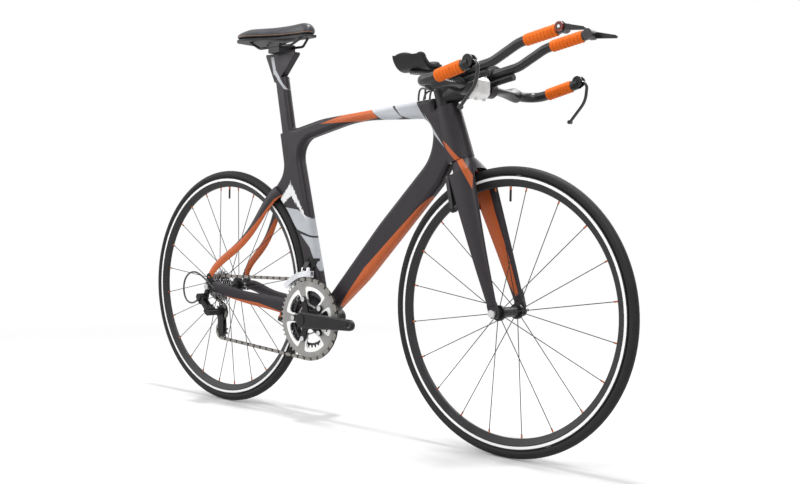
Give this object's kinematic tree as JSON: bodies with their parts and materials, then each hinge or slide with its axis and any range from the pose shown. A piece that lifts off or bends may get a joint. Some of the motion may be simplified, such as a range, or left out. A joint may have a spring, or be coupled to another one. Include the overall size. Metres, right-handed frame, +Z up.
{
  "type": "time trial bicycle",
  "caption": "Time trial bicycle with deep aero frame, base bar with forward extensions and arm rests, narrow saddle, shallow aero wheels and chain drive.",
  "frame": {"origin": "on the ground midway between the two tyre contact points", "axes": "+X forward, +Y to the rider's left, +Z up"},
  "size_m": [1.6678, 0.4572, 1.0638],
  "materials": {
    "carbon": "matte charcoal paint over carbon fibre",
    "black_alloy": "black anodised",
    "black_gloss": "gloss black",
    "steel": "bare steel",
    "silver": "silver alloy",
    "grey_ring": "grey anodised",
    "rubber": "black rubber",
    "tape": "orange wrapped tape",
    "foam": "soft black foam",
    "saddle_skin": "smooth black cover",
    "white_plate": "white paint",
    "housing": "black cable housing",
    "black_steel": "black steel"
  },
  "bodies": {
    "frame": {"main_frame": "carbon", "seat_stays": "carbon", "chain_stays": "carbon", "rear_dropouts": "black_alloy", "frame_inserts": "steel", "rear_skewer": "steel", "chain": "steel", "rear_housing": "housing", "front_derailleur_body": "black_alloy", "rear_derailleur_body": "black_alloy", "control_housings": "housing"},
    "rear_release": {"rear_quick_release": "silver"},
    "seat_mast": {"seatpost": "carbon", "saddle_clamp": "black_alloy"},
    "saddle": {"saddle_rails": "black_steel", "saddle_shell": "black_gloss", "saddle_pad": "saddle_skin"},
    "front_end": {"fork": "carbon", "stem": "black_alloy", "stem_face_plate": "white_plate", "stem_fasteners": "steel", "base_bar": "carbon", "grip_tape": "tape", "brake_lever_bodies": "black_alloy", "extension_bars": "black_alloy", "shifter_bodies": "black_gloss", "arm_rest_mounts": "black_alloy", "arm_pads": "foam", "front_skewer": "steel"},
    "front_release": {"front_quick_release": "silver"},
    "right_brake_control": {"right_brake_lever": "black_gloss"},
    "left_brake_control": {"left_brake_lever": "black_gloss"},
    "right_shift_control": {"right_shift_lever": "black_gloss"},
    "left_shift_control": {"left_shift_lever": "black_gloss"},
    "front_wheel": {"front_tyre": "rubber", "front_rim": "black_alloy", "front_spokes": "black_steel", "front_hub": "black_alloy"},
    "rear_wheel": {"rear_tyre": "rubber", "rear_rim": "black_alloy", "rear_spokes": "black_steel", "rear_hub": "black_alloy"},
    "sprockets": {"cassette": "steel"},
    "crankset": {"right_crank": "black_alloy", "left_crank": "black_alloy", "outer_chainring": "grey_ring", "inner_chainring": "grey_ring", "chainring_bolts": "steel"},
    "changer_link": {"front_derailleur_link": "black_alloy"},
    "changer_cage": {"front_derailleur_cage": "silver"},
    "outer_link": {"rear_derailleur_outer_link": "black_alloy"},
    "inner_link": {"rear_derailleur_inner_link": "black_alloy"},
    "knuckle": {"rear_derailleur_knuckle": "black_alloy"},
    "pulley_cage": {"rear_derailleur_cage": "black_alloy"},
    "guide_wheel": {"guide_pulley": "black_gloss"},
    "tension_wheel": {"tension_pulley": "black_gloss"},
    "front_arm_right": {"front_brake_right": "black_alloy"},
    "front_arm_left": {"front_brake_left": "black_alloy"},
    "rear_arm_right": {"rear_brake_right": "black_alloy"},
    "rear_arm_left": {"rear_brake_left": "black_alloy"}
  },
  "joints": [
    {"name": "steering", "type": "hinge", "parent": "frame", "child": "front_end", "pos_m": [0.32533, 0, 0.745], "axis": [-0.3007, 0, 0.9537], "range_deg": [-40, 40], "deforming": ["control_housings"]},
    {"name": "front_wheel_spin", "type": "hinge", "parent": "front_end", "child": "front_wheel", "pos_m": [0.5, 0, 0.334], "axis": [0, 1, 0], "continuous": true},
    {"name": "rear_wheel_spin", "type": "hinge", "parent": "frame", "child": "rear_wheel", "pos_m": [-0.5, 0, 0.334], "axis": [0, 1, 0], "continuous": true},
    {"name": "crank_spin", "type": "hinge", "parent": "frame", "child": "crankset", "pos_m": [-0.11, 0, 0.27], "axis": [0, 1, 0], "continuous": true, "deforming": ["chain"]},
    {"name": "cassette_spin", "type": "hinge", "parent": "frame", "child": "sprockets", "pos_m": [-0.5, 0, 0.334], "axis": [0, 1, 0], "continuous": true},
    {"name": "right_shift_turn", "type": "hinge", "parent": "front_end", "child": "right_shift_control", "pos_m": [0.6658, -0.052, 0.9582], "axis": [0, 1, 0], "range_deg": [-60, 60], "deforming": ["chain"]},
    {"name": "left_shift_turn", "type": "hinge", "parent": "front_end", "child": "left_shift_control", "pos_m": [0.6658, 0.052, 0.9582], "axis": [0, 1, 0], "range_deg": [0, 60], "deforming": ["chain"]},
    {"name": "outer_link_swing", "type": "hinge", "parent": "frame", "child": "outer_link", "pos_m": [-0.50537, -0.091, 0.29466], "axis": [0.6884, 0, 0.7254], "range_deg": [-30, 30], "deforming": ["chain"]},
    {"name": "inner_link_swing", "type": "hinge", "parent": "frame", "child": "inner_link", "pos_m": [-0.50537, -0.0785, 0.29466], "axis": [0.6884, 0, 0.7254], "range_deg": [-30, 30]},
    {"name": "knuckle_swing", "type": "hinge", "parent": "outer_link", "child": "knuckle", "pos_m": [-0.48216, -0.091, 0.27264], "axis": [0.6884, 0, 0.7254], "range_deg": [-30, 30], "deforming": ["chain"]},
    {"name": "pulley_cage_swing", "type": "hinge", "parent": "knuckle", "child": "pulley_cage", "pos_m": [-0.472, -0.0454, 0.263], "axis": [0, 1, 0], "range_deg": [-30, 12], "stiffness_Nm_per_rad": 0.6, "deforming": ["chain"]},
    {"name": "guide_pulley_spin", "type": "hinge", "parent": "pulley_cage", "child": "guide_wheel", "pos_m": [-0.472, -0.0454, 0.263], "axis": [0, 1, 0], "continuous": true},
    {"name": "tension_pulley_spin", "type": "hinge", "parent": "pulley_cage", "child": "tension_wheel", "pos_m": [-0.4676, -0.0454, 0.20918], "axis": [0, 1, 0], "continuous": true},
    {"name": "changer_link_swing", "type": "hinge", "parent": "frame", "child": "changer_link", "pos_m": [-0.132, -0.031, 0.418], "axis": [1, 0, 0], "range_deg": [0, 22], "deforming": ["chain"]},
    {"name": "changer_cage_swing", "type": "hinge", "parent": "changer_link", "child": "changer_cage", "pos_m": [-0.132, -0.039, 0.4025], "axis": [1, 0, 0], "range_deg": [-22, 0], "deforming": ["chain"]},
    {"name": "right_brake_pull", "type": "hinge", "parent": "front_end", "child": "right_brake_control", "pos_m": [0.53957, -0.214, 0.87913], "axis": [0, 1, 0], "range_deg": [0, 22], "stiffness_Nm_per_rad": 0.5},
    {"name": "left_brake_pull", "type": "hinge", "parent": "front_end", "child": "left_brake_control", "pos_m": [0.53957, 0.214, 0.87913], "axis": [0, 1, 0], "range_deg": [0, 22], "stiffness_Nm_per_rad": 0.5},
    {"name": "front_arm_right_close", "type": "hinge", "parent": "front_end", "child": "front_arm_right", "pos_m": [0.36427, -0.037, 0.56829], "axis": [-0.9537, 0, -0.3007], "range_deg": [0, 2.3]},
    {"name": "front_arm_left_close", "type": "hinge", "parent": "front_end", "child": "front_arm_left", "pos_m": [0.36427, 0.037, 0.56829], "axis": [-0.9537, 0, -0.3007], "range_deg": [-2.3, 0]},
    {"name": "rear_arm_right_close", "type": "hinge", "parent": "frame", "child": "rear_arm_right", "pos_m": [-0.24046, -0.0255, 0.25958], "axis": [-0.2756, 0, -0.9613], "range_deg": [-2.3, 0]},
    {"name": "rear_arm_left_close", "type": "hinge", "parent": "frame", "child": "rear_arm_left", "pos_m": [-0.24046, 0.0255, 0.25958], "axis": [-0.2756, 0, -0.9613], "range_deg": [0, 2.3]},
    {"name": "seatpost_height", "type": "slide", "parent": "frame", "child": "seat_mast", "axis": [-0.2079, 0, 0.9781], "range_m": [-0.045, 0.04]},
    {"name": "saddle_fore_aft", "type": "slide", "parent": "seat_mast", "child": "saddle", "axis": [1, 0, 0], "range_m": [-0.018, 0.018]},
    {"name": "front_release_turn", "type": "hinge", "parent": "front_end", "child": "front_release", "pos_m": [0.5, 0.0712, 0.334], "axis": [-0.9397, 0, -0.342], "range_deg": [0, 170]},
    {"name": "rear_release_turn", "type": "hinge", "parent": "frame", "child": "rear_release", "pos_m": [-0.5, 0.0862, 0.334], "axis": [-0.866, 0, -0.5], "range_deg": [0, 170]}
  ],
  "couplings": [
    {"joint": "cassette_spin", "follows": "crank_spin", "ratio": 3.4667},
    {"joint": "guide_pulley_spin", "follows": "crank_spin", "ratio": -4.7273},
    {"joint": "tension_pulley_spin", "follows": "crank_spin", "ratio": 4.7273},
    {"joint": "outer_link_swing", "follows": "right_shift_turn", "ratio": 0.5},
    {"joint": "inner_link_swing", "follows": "right_shift_turn", "ratio": 0.5},
    {"joint": "knuckle_swing", "follows": "right_shift_turn", "ratio": -0.5},
    {"joint": "changer_link_swing", "follows": "left_shift_turn", "ratio": 0.36667},
    {"joint": "changer_cage_swing", "follows": "left_shift_turn", "ratio": -0.36667},
    {"joint": "front_arm_right_close", "follows": "left_brake_pull", "ratio": 0.10454},
    {"joint": "front_arm_left_close", "follows": "left_brake_pull", "ratio": -0.10454},
    {"joint": "rear_arm_right_close", "follows": "right_brake_pull", "ratio": -0.10454},
    {"joint": "rear_arm_left_close", "follows": "right_brake_pull", "ratio": 0.10454}
  ]
}
